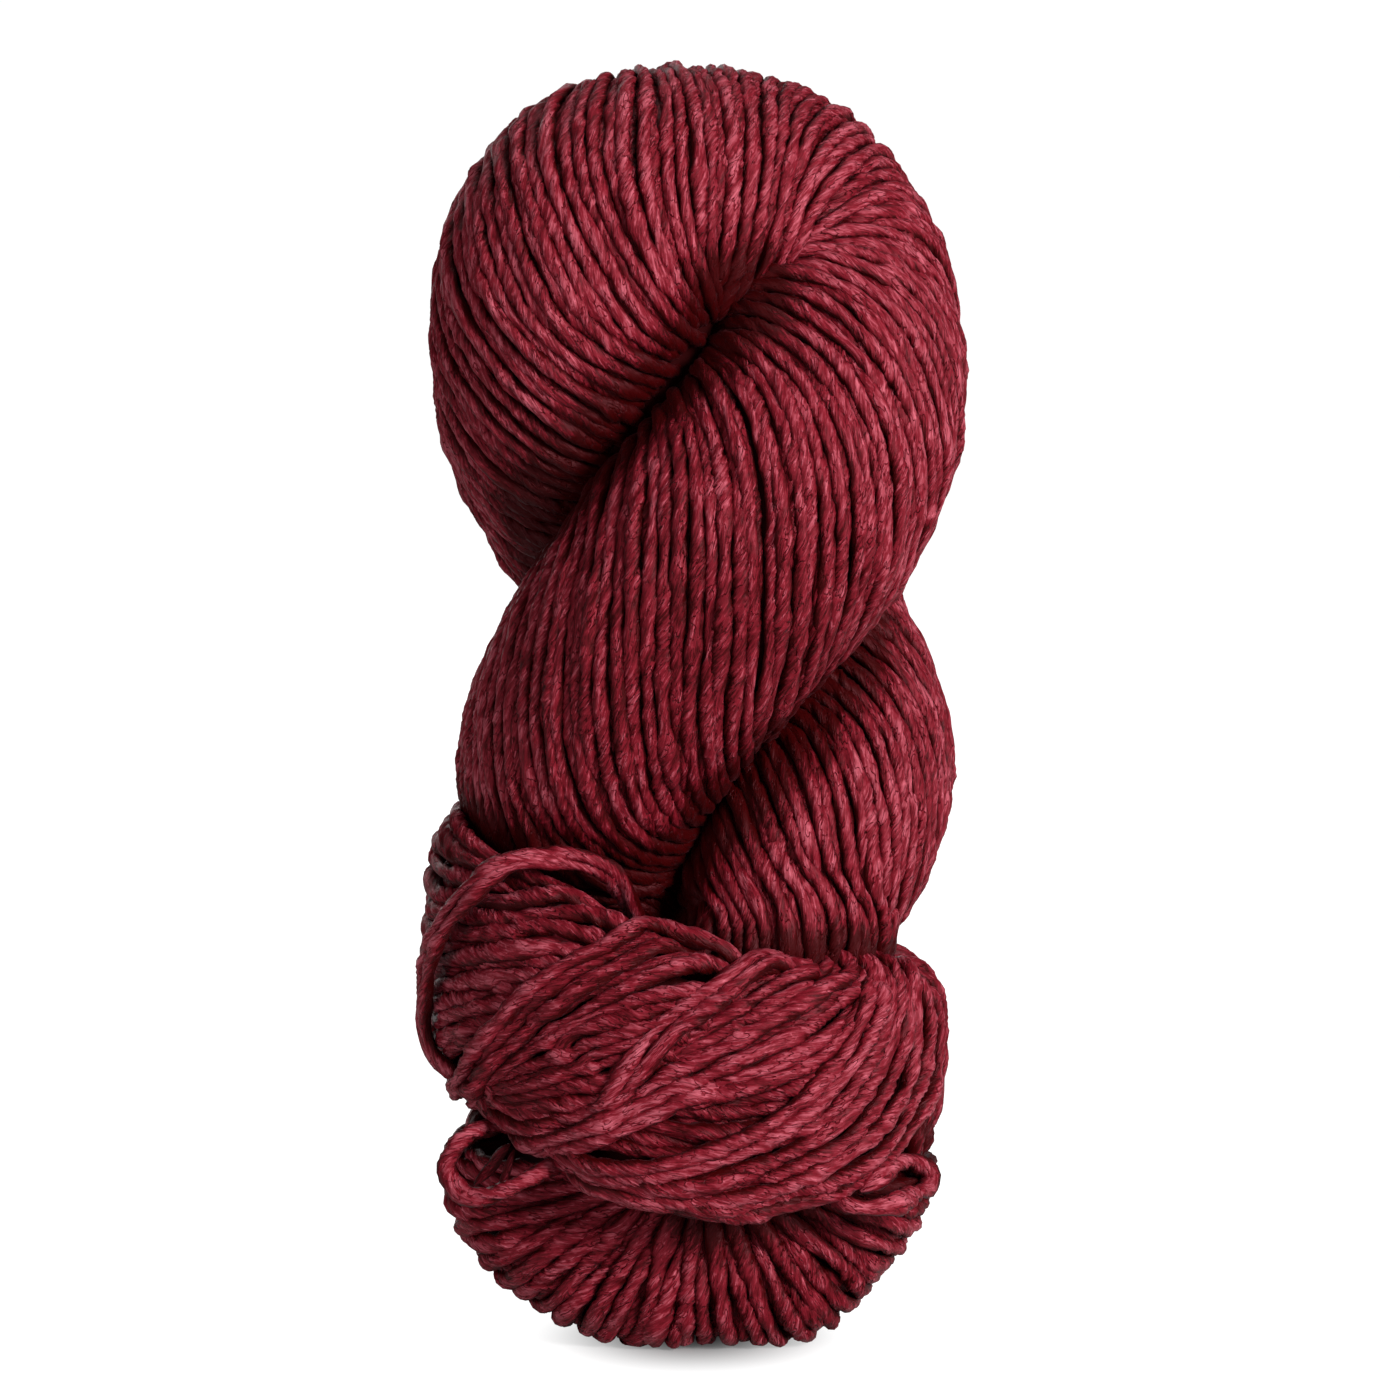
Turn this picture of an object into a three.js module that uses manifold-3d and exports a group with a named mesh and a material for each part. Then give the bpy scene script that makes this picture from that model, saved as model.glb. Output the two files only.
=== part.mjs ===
// A skein of silk yarn. The hank is twisted, folded in two so that it plies itself into a thick
// rope, and its one end is tucked through the loop at its other end, which wraps around it.
// Millimetres, +Z up, the front faces -Y and +X is on the right of the front.
import * as THREE from 'three';
import { mergeVertices } from 'three/addons/utils/BufferGeometryUtils.js';
import Module from 'manifold-3d';

const wasm = await Module();
wasm.setup();

// Driving dimensions
const PLY_DEPTH = 0.95;          // the rope is a little shallower than it is wide
const HEAD_CENTRE = 145;         // height that the arch of the head turns about
const ROPE_STEP = 4.2;           // between two sections of the rope
const ROPE_SIDES = 28;
const CURVE_SAMPLES = 16;        // points between two rows of the ply before they are spaced evenly

const BAND_X = -1.7;             // middle of the wrapped loop
const BAND_HALF_WIDTH = 37.3;    // its outer half width along X
const BAND_HALF_DEPTH = 33.5;    // and along Y
const BAND_HALF_THICKNESS = 7.0;
const BAND_ROUNDNESS = 2.7;      // exponent of its superellipse section
const BAND_STEPS = 56;
const BAND_SIDES = 22;

const TUCK_X = 0.85;             // middle of the tucked end, about which its loops spread
const TUCK_Z = 30.6;
const TUCK_HALF_DEPTH = 18.0;
const TUCK_INNER = 5.0;          // its section starts this far from the middle
const TUCK_STEPS = 45;
const TUCK_SIDES = 20;

// Where the rope's axis stands: it leans a little to the left towards the head.
const AXIS = [
  { height: 115, x: 1.2 },
  { height: 140, x: 0.0 },
  { height: 157.8, x: -2.0 },
];

// One ply of the rope, from the tuck up to the top of the head. The other ply is the same,
// half a turn around the axis. Azimuth 0 is +X and -90 is the front.
const PLY = [
  { height: 40, azimuth: -262, offset: 9.0, radius: 13.0 },
  { height: 50, azimuth: -240, offset: 12.0, radius: 14.0 },
  { height: 57, azimuth: -222, offset: 13.6, radius: 15.8 },
  { height: 64, azimuth: -209, offset: 13.9, radius: 17.2 },
  { height: 72, azimuth: -193, offset: 15.2, radius: 19.1 },
  { height: 82, azimuth: -165, offset: 16.3, radius: 19.9 },
  { height: 95, azimuth: -127, offset: 16.3, radius: 20.4 },
  { height: 108, azimuth: -90, offset: 16.3, radius: 21.6 },
  { height: 120, azimuth: -56, offset: 16.7, radius: 22.3 },
  { height: 132, azimuth: -22, offset: 16.4, radius: 22.1 },
  { height: 142, azimuth: 8, offset: 15.4, radius: 22.2 },
  { height: 149, azimuth: 22, offset: 14.8, radius: 22.5 },
  { height: 154, azimuth: 28, offset: 12.2, radius: 22.4 },
  { height: 157, azimuth: 30, offset: 8.0, radius: 22.3 },
  { height: 157.8, azimuth: 30, offset: 0.0, radius: 22.3 },
];

// The loop that wraps around the tuck, every 45 degrees of azimuth: the height of its middle
// and its half height.
const BAND = [
  { azimuth: 0, middle: 39.0, half: 15.5 },
  { azimuth: -45, middle: 39.0, half: 18.8 },
  { azimuth: -90, middle: 37.5, half: 20.8 },
  { azimuth: -135, middle: 50.3, half: 20.0 },
  { azimuth: -180, middle: 57.0, half: 20.0 },
  { azimuth: -225, middle: 56.0, half: 20.5 },
  { azimuth: -270, middle: 52.0, half: 20.0 },
  { azimuth: -315, middle: 42.5, half: 16.0 },
];

// The tucked end seen from the front: how far its loops reach at each angle below +X, how
// square their turn is, and how much its back stands higher than its front there.
const TUCK = [
  { angle: -2, reach: 31.2, squareness: 3.0, lift: 0.1 },
  { angle: -14, reach: 34.0, squareness: 3.0, lift: 0.08 },
  { angle: -40, reach: 33.5, squareness: 3.4, lift: 0.0 },
  { angle: -64, reach: 34.2, squareness: 4.5, lift: 0.0 },
  { angle: -90, reach: 32.0, squareness: 5.0, lift: 0.0 },
  { angle: -116, reach: 34.2, squareness: 4.5, lift: 0.0 },
  { angle: -140, reach: 36.4, squareness: 3.4, lift: 0.03 },
  { angle: -157, reach: 38.4, squareness: 3.0, lift: 0.12 },
  { angle: -170, reach: 37.2, squareness: 3.0, lift: 0.18 },
  { angle: -183, reach: 29.5, squareness: 3.0, lift: 0.2 },
];

// Uniform Catmull-Rom curve through rows of numbers
function throughRows(rows, samples, closed) {
  const count = rows.length;
  const spans = closed ? count : count - 1;
  const at = (i) => (closed ? rows[(i + count) % count] : rows[Math.min(Math.max(i, 0), count - 1)]);
  const points = [];
  for (let span = 0; span < spans; span++) {
    const [a, b, c, d] = [at(span - 1), at(span), at(span + 1), at(span + 2)];
    for (let k = 0; k < samples; k++) {
      const t = k / samples;
      points.push(b.map((_, n) => 0.5 * (2 * b[n] + (c[n] - a[n]) * t
        + (2 * a[n] - 5 * b[n] + 4 * c[n] - d[n]) * t * t
        + (3 * b[n] - a[n] - 3 * c[n] + d[n]) * t * t * t)));
    }
  }
  if (!closed) points.push([...rows[count - 1]]);
  return points;
}

// The same curve with its rows an even distance apart, measured on the first three numbers
function evenly(rows, step) {
  const reach = [0];
  for (let i = 1; i < rows.length; i++) {
    const [a, b] = [rows[i - 1], rows[i]];
    reach.push(reach[i - 1] + Math.hypot(b[0] - a[0], b[1] - a[1], b[2] - a[2]));
  }
  const total = reach[rows.length - 1];
  const count = Math.round(total / step);
  const points = [];
  let i = 0;
  for (let k = 0; k <= count; k++) {
    const s = (total * k) / count;
    while (i < rows.length - 2 && reach[i + 1] < s) i++;
    const f = (s - reach[i]) / (reach[i + 1] - reach[i]);
    points.push(rows[i].map((value, n) => value + (rows[i + 1][n] - value) * f));
  }
  return points;
}

// Skin over sections of equally many points. A closed sweep joins its last section to its
// first, and an open one is capped with a fan of triangles around each end's middle.
function skin(sections, closed) {
  const sides = sections[0].length;
  const vertices = sections.flat();
  const triangles = [];
  const spans = closed ? sections.length : sections.length - 1;
  for (let i = 0; i < spans; i++) {
    const near = i * sides;
    const far = ((i + 1) % sections.length) * sides;
    for (let j = 0; j < sides; j++) {
      const next = (j + 1) % sides;
      triangles.push(near + j, far + next, far + j, near + j, near + next, far + next);
    }
  }
  if (!closed) {
    for (const [section, start, isFirst] of [
      [sections[0], 0, true],
      [sections[sections.length - 1], (sections.length - 1) * sides, false],
    ]) {
      const middle = section.reduce((sum, p) => sum.add(p), new THREE.Vector3()).divideScalar(sides);
      const hub = vertices.push(middle) - 1;
      for (let j = 0; j < sides; j++) {
        const next = (j + 1) % sides;
        if (isFirst) triangles.push(hub, start + next, start + j);
        else triangles.push(hub, start + j, start + next);
      }
    }
  }
  const geometry = new THREE.BufferGeometry();
  geometry.setAttribute('position', new THREE.Float32BufferAttribute(vertices.flatMap((p) => p.toArray()), 3));
  geometry.setIndex(triangles);
  return geometry;
}

// A point on a superellipse, as a pair of numbers from -1 to 1
function superellipse(angle, exponent) {
  const shape = (value) => Math.sign(value) * Math.abs(value) ** (2 / exponent);
  return [shape(Math.cos(angle)), shape(Math.sin(angle))];
}

// Place of the rope's axis along X at a height
function axisX(height) {
  const next = AXIS.findIndex((row) => row.height > height);
  if (next === 0) return AXIS[0].x;
  if (next < 0) return AXIS[AXIS.length - 1].x;
  const [a, b] = [AXIS[next - 1], AXIS[next]];
  return THREE.MathUtils.mapLinear(height, a.height, b.height, a.x, b.x);
}

// Middle line of the rope: up one ply, over the head and down the other
function ropeLine() {
  const side = (turn) => PLY.map((row) => {
    const azimuth = THREE.MathUtils.degToRad(row.azimuth) + turn;
    return [
      axisX(row.height) + row.offset * Math.cos(azimuth),
      row.offset * Math.sin(azimuth) * PLY_DEPTH,
      row.height,
      row.radius,
    ];
  });
  const up = side(Math.PI);
  const down = side(0).reverse();
  return evenly(throughRows([...up, ...down.slice(1)], CURVE_SAMPLES, false), ROPE_STEP);
}

// The plied rope: a round section carried along that line
function rope() {
  const line = ropeLine();
  const centres = line.map(([x, y, z]) => new THREE.Vector3(x, y, z));
  const sections = centres.map((centre, i) => {
    const before = centres[Math.max(i - 1, 0)];
    const after = centres[Math.min(i + 1, centres.length - 1)];
    const along = after.clone().sub(before).normalize();
    const level = Math.min(centre.z, HEAD_CENTRE);
    const outward = centre.clone().sub(new THREE.Vector3(axisX(level), 0, level));
    outward.addScaledVector(along, -outward.dot(along)).normalize();
    const across = along.clone().cross(outward);
    const radius = line[i][3];
    return Array.from({ length: ROPE_SIDES }, (_, k) => {
      const angle = (2 * Math.PI * k) / ROPE_SIDES;
      return centre.clone()
        .addScaledVector(outward, radius * Math.cos(angle))
        .addScaledVector(across, radius * Math.sin(angle));
    });
  });
  return skin(sections, false);
}

// The loop wrapped around the tuck: an upright superellipse carried around an ellipse
function band() {
  const rows = throughRows(BAND.map((row) => [row.middle, row.half]), BAND_STEPS / BAND.length, true);
  const sections = rows.map(([middle, half], i) => {
    const azimuth = (-2 * Math.PI * i) / rows.length;
    return Array.from({ length: BAND_SIDES }, (_, k) => {
      const [out, up] = superellipse((2 * Math.PI * k) / BAND_SIDES, BAND_ROUNDNESS);
      const inset = BAND_HALF_THICKNESS * (1 - out);
      return new THREE.Vector3(
        BAND_X + (BAND_HALF_WIDTH - inset) * Math.cos(azimuth),
        (BAND_HALF_DEPTH - inset) * Math.sin(azimuth),
        middle + half * up,
      );
    });
  });
  return skin(sections, true);
}

// The tucked end: a half disc whose rim is rounded, standing on a flat at height 0
function tuck() {
  const table = TUCK.map((row) => [row.angle, row.reach, row.squareness, row.lift]);
  const rows = throughRows(table, TUCK_STEPS / (TUCK.length - 1), false);
  const sections = rows.map(([degrees, reach, squareness, lift]) => {
    const angle = THREE.MathUtils.degToRad(degrees);
    return Array.from({ length: TUCK_SIDES }, (_, k) => {
      const turn = Math.PI * (0.5 - k / (TUCK_SIDES - 1));
      const [out, side] = superellipse(turn, squareness);
      const far = TUCK_INNER + (reach - TUCK_INNER) * out;
      const y = TUCK_HALF_DEPTH * side;
      const z = TUCK_Z + far * Math.sin(angle) + lift * y;
      return new THREE.Vector3(TUCK_X + far * Math.cos(angle), y, Math.max(z, 0));
    });
  });
  return skin(sections, false);
}

// Solids join into one
function solid(geometry) {
  const merged = mergeVertices(geometry);
  return new wasm.Manifold(new wasm.Mesh({
    numProp: 3,
    vertProperties: new Float32Array(merged.attributes.position.array),
    triVerts: new Uint32Array(merged.index.array),
  }));
}

function join(geometries) {
  const mesh = geometries.map(solid).reduce((whole, piece) => whole.add(piece)).getMesh();
  const geometry = new THREE.BufferGeometry();
  geometry.setAttribute('position', new THREE.BufferAttribute(mesh.vertProperties, 3));
  geometry.setIndex(new THREE.BufferAttribute(mesh.triVerts, 1));
  return geometry;
}

const silk = new THREE.MeshStandardMaterial({ color: 0x7e2833, roughness: 0.55, metalness: 0.0 });

const body = join([rope(), band(), tuck()]);
body.computeBoundingBox();
const middle = body.boundingBox.getCenter(new THREE.Vector3());
body.translate(-middle.x, -middle.y, -body.boundingBox.min.z);
body.computeVertexNormals();

const skein = new THREE.Mesh(body, silk);
skein.name = 'skein';

const group = new THREE.Group();
group.add(skein);

export default group;
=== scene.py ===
import math

import bpy
import numpy as np
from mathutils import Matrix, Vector


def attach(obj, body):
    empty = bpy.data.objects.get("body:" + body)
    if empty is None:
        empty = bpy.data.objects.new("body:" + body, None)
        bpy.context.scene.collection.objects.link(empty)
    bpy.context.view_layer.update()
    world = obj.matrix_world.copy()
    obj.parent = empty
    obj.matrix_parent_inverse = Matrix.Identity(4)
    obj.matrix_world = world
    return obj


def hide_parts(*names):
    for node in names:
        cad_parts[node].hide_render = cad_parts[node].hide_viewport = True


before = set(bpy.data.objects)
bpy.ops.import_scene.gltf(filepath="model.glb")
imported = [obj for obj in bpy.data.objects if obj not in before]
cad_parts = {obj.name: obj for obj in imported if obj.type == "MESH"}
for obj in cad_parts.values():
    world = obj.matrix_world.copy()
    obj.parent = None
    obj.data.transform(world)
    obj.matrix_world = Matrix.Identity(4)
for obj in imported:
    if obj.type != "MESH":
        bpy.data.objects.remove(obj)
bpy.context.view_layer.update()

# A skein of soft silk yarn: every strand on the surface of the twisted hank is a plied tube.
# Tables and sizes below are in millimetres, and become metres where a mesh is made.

MM = 0.001

# Camera
IMAGE_PIXELS = 1400
PIXEL = 180.0 / 1277.0  # millimetres in one pixel of the photograph, at the skein
SKEIN_MIDDLE_PX = 694  # column of the skein's middle in the photograph
FLOOR_PX = 1342  # row where it stands
LENS = 200.0
SENSOR = 36.0
CAMERA_RISE = math.radians(5.0)


def add_object(name, data):
    made = bpy.data.objects.new(name, data)
    bpy.context.scene.collection.objects.link(made)
    return made


def make_camera():
    frame_size = IMAGE_PIXELS * PIXEL * MM
    distance = frame_size * LENS / SENSOR
    look_x = (IMAGE_PIXELS / 2 - SKEIN_MIDDLE_PX) * PIXEL * MM
    look_z = (FLOOR_PX - IMAGE_PIXELS / 2) * PIXEL * MM
    look = Vector((look_x, 0.0, look_z))
    back = Vector((0.0, -math.cos(CAMERA_RISE), math.sin(CAMERA_RISE)))
    camera = add_object("camera", bpy.data.cameras.new("camera"))
    camera.data.lens = LENS
    camera.data.sensor_width = SENSOR
    camera.data.clip_end = 20.0
    camera.location = look + back * distance
    camera.rotation_euler = (-back).to_track_quat("-Z", "Y").to_euler()
    bpy.context.scene.camera = camera


make_camera()

# The form, as in the CAD
SHIFT_X = 0.53  # moves the middle of the skein's box to the origin
PLY_DEPTH = 0.95
AXIS = [(115.0, 1.2), (140.0, 0.0), (157.8, -2.0)]  # height, and where the axis lies along X
HEAD_CENTRE = 145.0

BAND_X = -1.7
BAND_HALF_WIDTH = 37.3
BAND_HALF_DEPTH = 33.5
BAND_HALF_THICKNESS = 7.0
BAND_ROUNDNESS = 2.7

TUCK_X = 0.85
TUCK_Z = 30.6
TUCK_HALF_DEPTH = 18.0
TUCK_INNER = 5.0

# The yarn
YARN = 2.0  # thickness of a strand
TWIST_PITCH = 14.0  # length in which its own plies turn once around
SNUG = 0.86  # soft strands pack this much closer than their thickness
MEET = 1.06  # strands this many thicknesses apart hide one below them
END_LENGTH = 6.0  # where a strand goes under others, its end bends down
END_DROP = 2.0
RING_STEP = 1.0

# One ply of the rope: height, azimuth, offset from the axis, radius, and the turn of its
# strands in radians for each millimetre of length.
PLY = [
    (40, -262, 9.0, 13.0, 0.083),
    (50, -240, 12.0, 14.0, 0.083),
    (57, -222, 13.6, 15.8, 0.083),
    (64, -209, 13.5, 16.6, 0.083),
    (72, -193, 14.8, 18.6, 0.083),
    (82, -165, 16.1, 19.7, 0.083),
    (95, -127, 16.3, 20.4, 0.083),
    (108, -90, 16.3, 21.6, 0.085),
    (120, -56, 16.7, 22.3, 0.100),
    (132, -22, 16.4, 22.1, 0.130),
    (142, 8, 15.4, 22.2, 0.150),
    (149, 22, 14.8, 22.5, 0.170),
    (154, 28, 12.2, 22.4, 0.190),
    (157, 30, 8.0, 22.3, 0.200),
    (157.8, 30, 0.0, 22.3, 0.200),
]

# The wrapped loop, every 45 degrees of azimuth: height of its middle, and half height.
BAND = [
    (39.0, 15.5),
    (39.0, 18.8),
    (37.5, 20.8),
    (50.3, 20.0),
    (57.0, 20.0),
    (56.0, 20.5),
    (52.0, 20.0),
    (42.5, 16.0),
]

# The tucked end: angle below +X, reach, squareness of the turn, and lift of the back.
TUCK = [
    (-2, 31.2, 3.0, 0.10),
    (-14, 34.0, 3.0, 0.08),
    (-40, 33.5, 3.4, 0.0),
    (-64, 34.2, 4.5, 0.0),
    (-90, 32.0, 5.0, 0.0),
    (-116, 34.2, 4.5, 0.0),
    (-140, 36.4, 3.4, 0.03),
    (-157, 38.4, 3.0, 0.12),
    (-170, 37.2, 3.0, 0.18),
    (-183, 29.5, 3.0, 0.20),
]

# How strands lie on the wrapped loop, layer by layer. A layer's guides are strands numbered from
# its first one, and the strands between them follow. A guide runs over the front through
# places measured on the photograph, in its pixels, from the right to the left, and then on
# around the back through (azimuth, angle around the loop's section): there 90 is its top
# edge, 0 its outside and -90 its bottom edge. Those of the right end have no front part.
RIGHT_END = {
    0: ([], [(-24, 134), (-24, 96), (-22, 50), (-20, 0), (-19, -50), (-18, -96), (-17, -134)]),
    14: ([], [(24, 134), (24, 96), (23, 50), (22, 0), (22, -50), (22, -96), (22, -134)]),
}
TOP_EDGE = {
    0: ([(640, 902), (600, 882), (562, 872), (528, 864), (495, 850), (466, 830), (445, 804)],
        [(-205, 66), (-235, 78), (-262, 90), (-287, 100), (-303, 116), (-307, 134)]),
    5: ([(640, 915), (602, 895), (562, 888), (526, 884), (492, 880), (462, 876), (426, 868)],
        [(-205, 42), (-235, 58), (-262, 76), (-287, 92), (-303, 110), (-309, 134)]),
}
FAN = {
    0: ([(680, 938), (648, 922), (624, 906), (600, 899), (570, 892), (545, 889), (510, 891), (478, 890),
         (450, 888), (425, 884)],
        [(-205, 34), (-235, 52), (-262, 68), (-287, 84), (-303, 104), (-310, 134)]),
    1: ([(662, 946), (632, 934), (610, 918), (585, 906), (560, 901), (540, 902), (512, 907), (482, 910),
         (455, 909), (422, 904)],
        [(-205, 20), (-235, 40), (-262, 58), (-287, 76), (-303, 98), (-312, 134)]),
    2: ([(650, 955), (622, 945), (598, 934), (575, 926), (552, 920), (530, 920), (506, 924), (482, 928),
         (455, 929), (420, 926)],
        [(-205, 8), (-235, 30), (-262, 50), (-287, 69), (-303, 91), (-314, 134)]),
    4: ([(625, 968), (600, 957), (575, 950), (552, 947), (528, 948), (505, 949), (484, 950), (462, 952),
         (440, 955), (420, 960)],
        [(-205, -8), (-235, 16), (-262, 38), (-287, 60), (-303, 82), (-316, 134)]),
    6: ([(592, 986), (572, 979), (550, 974), (530, 972), (508, 972), (488, 974), (470, 977), (452, 981),
         (436, 986), (424, 990)],
        [(-205, -20), (-235, 4), (-262, 28), (-287, 50), (-304, 74), (-318, 134)]),
    8: ([(562, 1004), (546, 1000), (529, 999), (512, 1000), (496, 1003), (480, 1008), (464, 1013),
         (450, 1018), (438, 1022), (428, 1026)],
        [(-205, -32), (-235, -8), (-262, 16), (-287, 40), (-305, 66), (-320, 134)]),
    10: ([(532, 1024), (520, 1023), (507, 1025), (494, 1029), (482, 1034), (470, 1040), (460, 1046),
          (450, 1052), (443, 1057), (436, 1062)],
         [(-205, -44), (-235, -20), (-262, 6), (-287, 30), (-306, 58), (-322, 134)]),
}
LEFT_MIDDLE = {
    0: ([(765, 962), (735, 956), (700, 951), (660, 956), (620, 969), (585, 986), (555, 1005), (525, 1029),
         (498, 1055), (476, 1078), (462, 1092)],
        [(-190, -74), (-214, -54), (-240, -28), (-266, -4), (-290, 20), (-308, 50), (-324, 134)]),
    2: ([(768, 990), (735, 986), (708, 984), (678, 986), (645, 994), (612, 1006), (582, 1020), (555, 1035),
         (528, 1052), (502, 1071), (482, 1086), (466, 1098)],
        [(-190, -80), (-214, -62), (-240, -38), (-266, -14), (-291, 12), (-310, 44), (-326, 134)]),
    4: ([(738, 1010), (700, 1010), (679, 1013), (655, 1021), (627, 1032), (600, 1043), (575, 1054),
         (550, 1064), (526, 1075), (503, 1085), (482, 1093), (464, 1101)],
        [(-190, -86), (-214, -70), (-240, -48), (-266, -24), (-292, 4), (-313, 38), (-329, 134)]),
    6: ([(704, 1046), (664, 1046), (644, 1051), (622, 1059), (600, 1067), (577, 1075), (555, 1083),
         (533, 1091), (512, 1098), (494, 1102), (478, 1105), (464, 1107)],
        [(-190, -90), (-214, -76), (-240, -56), (-266, -33), (-293, -4), (-316, 32), (-332, 134)]),
    8: ([(674, 1094), (632, 1095), (616, 1098), (600, 1102), (580, 1106), (560, 1110), (540, 1113),
         (522, 1115), (506, 1115), (494, 1114), (482, 1113), (470, 1112)],
        [(-190, -94), (-214, -82), (-240, -64), (-266, -42), (-294, -12), (-318, 26), (-335, 134)]),
}
DIAGONAL = {
    0: ([(760, 962), (738, 946), (712, 934), (684, 928), (655, 931), (628, 940), (600, 950), (572, 964),
         (546, 983), (520, 1003), (495, 1025), (474, 1049), (460, 1075), (455, 1096)],
        [(-192, -60), (-216, -42), (-240, -20)]),
    2: ([(752, 972), (728, 959), (702, 950), (676, 946), (648, 951), (622, 961), (596, 973), (572, 987),
         (548, 1005), (524, 1026), (501, 1050), (483, 1072), (471, 1092), (465, 1105)],
        [(-192, -66), (-216, -50), (-240, -28)]),
}
RIGHT_MIDDLE = {
    0: ([(808, 954), (786, 952), (764, 957), (744, 969), (724, 986), (702, 1003), (678, 1021), (657, 1042),
         (639, 1066), (622, 1090), (604, 1111), (576, 1124), (542, 1128), (510, 1122), (488, 1108),
         (476, 1094)],
        [(-190, -88), (-214, -80), (-240, -66), (-266, -46), (-295, -18), (-321, 20), (-338, 134)]),
    3: ([(840, 958), (818, 969), (795, 983), (771, 998), (748, 1012), (726, 1025), (704, 1038), (682, 1052),
         (661, 1067), (640, 1084), (613, 1108), (580, 1127), (546, 1134), (514, 1130), (491, 1116),
         (478, 1100)],
        [(-190, -92), (-214, -86), (-240, -74), (-266, -54), (-295, -26), (-323, 12), (-341, 134)]),
    5: ([(864, 963), (844, 980), (821, 998), (797, 1014), (773, 1028), (750, 1041), (727, 1053),
         (704, 1065), (680, 1078), (654, 1093), (624, 1112), (590, 1130), (554, 1140), (521, 1138),
         (496, 1126), (481, 1110)],
        [(-190, -96), (-214, -92), (-240, -82), (-266, -62), (-296, -34), (-325, 4), (-344, 134)]),
    7: ([(874, 968), (864, 994), (846, 1018), (823, 1038), (798, 1053), (773, 1064), (746, 1073),
         (718, 1083), (690, 1094), (660, 1106), (628, 1122), (594, 1137), (558, 1146), (525, 1146),
         (500, 1137), (484, 1120)],
        [(-190, -100), (-214, -97), (-240, -88), (-266, -70), (-296, -42), (-327, -4), (-347, 134)]),
    9: ([(877, 966), (873, 994), (862, 1024), (844, 1051), (820, 1072), (792, 1087), (762, 1096),
         (730, 1100), (700, 1102), (668, 1109), (634, 1124), (600, 1140), (564, 1150), (530, 1151),
         (504, 1143), (487, 1128)],
        [(-190, -104), (-214, -101), (-240, -93), (-266, -76), (-297, -48), (-328, -8), (-348, 134)]),
    11: ([(880, 964), (880, 994), (872, 1028), (856, 1058), (834, 1082), (806, 1098), (775, 1107),
          (742, 1109), (706, 1110), (672, 1116), (638, 1130), (604, 1145), (568, 1155), (534, 1156),
          (507, 1149), (490, 1134)],
         [(-190, -106), (-214, -104), (-240, -96), (-266, -80), (-297, -52), (-329, -12), (-349, 134)]),
}
SMILE = {
    0: ([(838, 1080), (812, 1098), (785, 1109), (755, 1114), (722, 1115), (690, 1113), (655, 1114),
         (620, 1122), (585, 1134), (550, 1144)],
        [(-150, -70)]),
    2: ([(820, 1106), (790, 1124), (757, 1136), (722, 1141), (690, 1140), (655, 1136), (620, 1134),
         (585, 1138), (550, 1146)],
        [(-150, -76)]),
    4: ([(800, 1140), (765, 1154), (730, 1162), (695, 1165), (660, 1163), (625, 1158), (590, 1152),
         (555, 1150), (525, 1148)],
        [(-150, -82)]),
}
RIGHT_SIDE = {
    0: ([(880, 960), (886, 984), (880, 1012), (868, 1040), (853, 1066), (833, 1091), (808, 1113),
         (780, 1133), (748, 1149), (712, 1162), (676, 1172), (640, 1178), (604, 1178), (574, 1171),
         (552, 1160), (536, 1146)],
        [(-160, -84), (-200, -104), (-240, -100), (-266, -86), (-298, -52), (-330, -12), (-350, 134)]),
    2: ([(893, 960), (904, 990), (902, 1026), (892, 1060), (876, 1092), (852, 1120), (822, 1144),
         (788, 1163), (752, 1177), (714, 1187), (676, 1193), (638, 1195), (602, 1191), (572, 1182),
         (548, 1170), (528, 1156)],
        [(-160, -92), (-200, -112), (-240, -110), (-270, -92), (-302, -62), (-335, -20), (-356, 134)]),
    4: ([(897, 954), (920, 990), (926, 1030), (921, 1068), (908, 1104), (886, 1136), (856, 1161),
         (822, 1180), (786, 1194), (748, 1204), (710, 1209), (672, 1210), (636, 1207), (602, 1199),
         (574, 1188), (548, 1172)],
        [(-160, -100), (-200, -120), (-240, -120), (-274, -102), (-308, -74), (-342, -30), (-363, 134)]),
    6: ([(896, 944), (928, 976), (944, 1022), (945, 1068), (934, 1112), (912, 1148), (884, 1176),
         (850, 1197), (812, 1213), (772, 1224), (734, 1229), (698, 1227), (664, 1220), (630, 1212),
         (600, 1202), (570, 1188)],
        [(-160, -108), (-200, -126), (-240, -128), (-280, -110), (-316, -84), (-350, -40), (-370, 134)]),
}

# "over" strands start over the top edge, the others under the layer in front of them. "depth"
# is how deep a layer lies, "dip" how much deeper its strands start, "dark" the length over
# which they come out of the painted shade there, all in millimetres, and "thick" how thick they are.
# Where strands crowd, those of a "slim" layer grow thinner, and the others sink.
LAYERS = [
    {"guides": RIGHT_END, "depth": 1.5, "dark": 2.0, "thick": 1.1},
    {"guides": TOP_EDGE, "depth": 0.5, "dip": 1.5, "dark": 22.0, "thick": 1.0},
    {"guides": FAN, "depth": 0.1, "dip": 3.2, "dark": 5.0, "thick": 1.12},
    {"guides": LEFT_MIDDLE, "depth": 0.1, "dip": 2.6, "dark": 8.0, "thick": 1.26, "slim": True},
    {"guides": DIAGONAL, "depth": -2.0, "dip": 2.6, "dark": 2.0, "thick": 1.08},
    {"guides": RIGHT_MIDDLE, "over": True, "depth": 0.1, "dark": 2.0, "thick": 1.05},
    {"guides": SMILE, "depth": 1.2, "dip": 1.4, "dark": 6.0, "thick": 1.0},
    {"guides": RIGHT_SIDE, "over": True, "depth": 0.0, "dark": 2.0, "thick": 1.1},
]

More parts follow.
